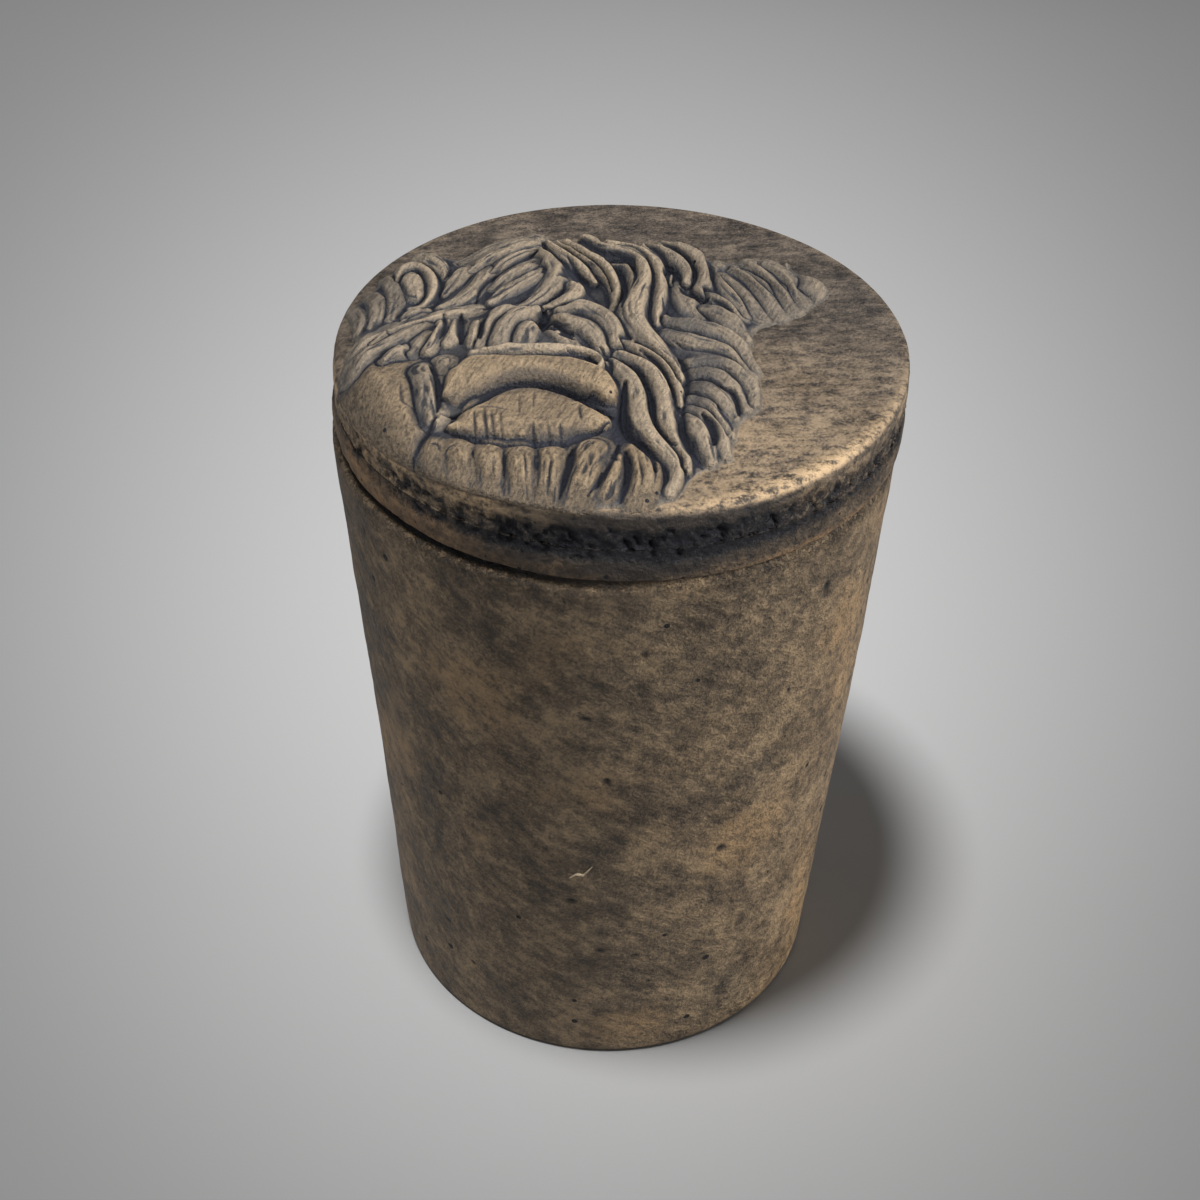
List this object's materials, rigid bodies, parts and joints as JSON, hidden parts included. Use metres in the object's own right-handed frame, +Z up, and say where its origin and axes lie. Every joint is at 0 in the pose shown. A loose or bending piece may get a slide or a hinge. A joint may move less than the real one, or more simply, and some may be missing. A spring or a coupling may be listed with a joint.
{
  "type": "lidded pot",
  "caption": "Tapered ceramic pot with a thick lift-off lid; a shaggy animal's head is modelled in relief on the lid.",
  "frame": {"origin": "middle of the pot's foot, on the surface it stands on", "axes": "+Z up along the pot's axis; -Y towards the viewer who sees the head on the lid the right way up; +X to that viewer's right"},
  "size_m": [0.151, 0.151, 0.2194],
  "materials": {
    "pot_clay": "unglazed stoneware, mottled umber stain, satin",
    "lid_clay": "unglazed stoneware, streaky brown stain, satin",
    "relief_ground_clay": "blue-black stain left in the hollows",
    "relief_clay": "stain wiped back to tan on the high points"
  },
  "bodies": {
    "pot": {"pot_wall": "pot_clay", "pot_base": "pot_clay"},
    "lid": {"lid_top_slab": "lid_clay", "lid_rim_band": "lid_clay", "lid_flange": "lid_clay", "brow_knob": "relief_clay", "brow_tuft_left": "relief_clay", "brow_tuft_middle": "relief_clay", "brow_tuft_right_inner": "relief_clay", "brow_tuft_right_outer": "relief_clay", "cheek_lock": "relief_clay", "chin_tuft_1": "relief_clay", "chin_tuft_2": "relief_clay", "chin_tuft_3": "relief_clay", "chin_tuft_4": "relief_clay", "chin_tuft_5": "relief_clay", "chin_tuft_6": "relief_clay", "chin_tuft_7": "relief_clay", "crown_lock_1": "relief_clay", "crown_lock_2": "relief_clay", "crown_lock_3": "relief_clay", "crown_lock_4": "relief_clay", "eye_strand": "relief_clay", "forelock_inner": "relief_clay", "forelock_outer": "relief_clay", "head_ground": "relief_ground_clay", "left_cheek": "relief_clay", "left_coil": "relief_clay", "left_coil_heart": "relief_clay", "left_ear_strand": "relief_clay", "left_leaf": "relief_clay", "lower_lip": "relief_clay", "muzzle": "relief_clay", "muzzle_lock_inner": "relief_clay", "muzzle_lock_middle": "relief_clay", "muzzle_lock_outer": "relief_clay", "nose_bar": "relief_clay", "parting_lock_1": "relief_clay", "parting_lock_2": "relief_clay", "right_ear": "relief_clay", "right_lock_10": "relief_clay", "right_lock_11": "relief_clay", "right_lock_12": "relief_clay", "right_lock_13": "relief_clay", "right_lock_14": "relief_clay", "right_lock_2": "relief_clay", "right_lock_3": "relief_clay", "right_lock_4": "relief_clay", "right_lock_5": "relief_clay", "right_lock_6": "relief_clay", "right_lock_7": "relief_clay", "right_lock_8": "relief_clay", "right_lock_9": "relief_clay", "right_lock_main": "relief_clay", "temple_lock_lower": "relief_clay", "temple_lock_upper": "relief_clay"}
  },
  "joints": [
    {"name": "lid_lift", "type": "slide", "parent": "pot", "child": "lid", "axis": [0, 0, 1], "range_m": [0, 0.12]}
  ]
}
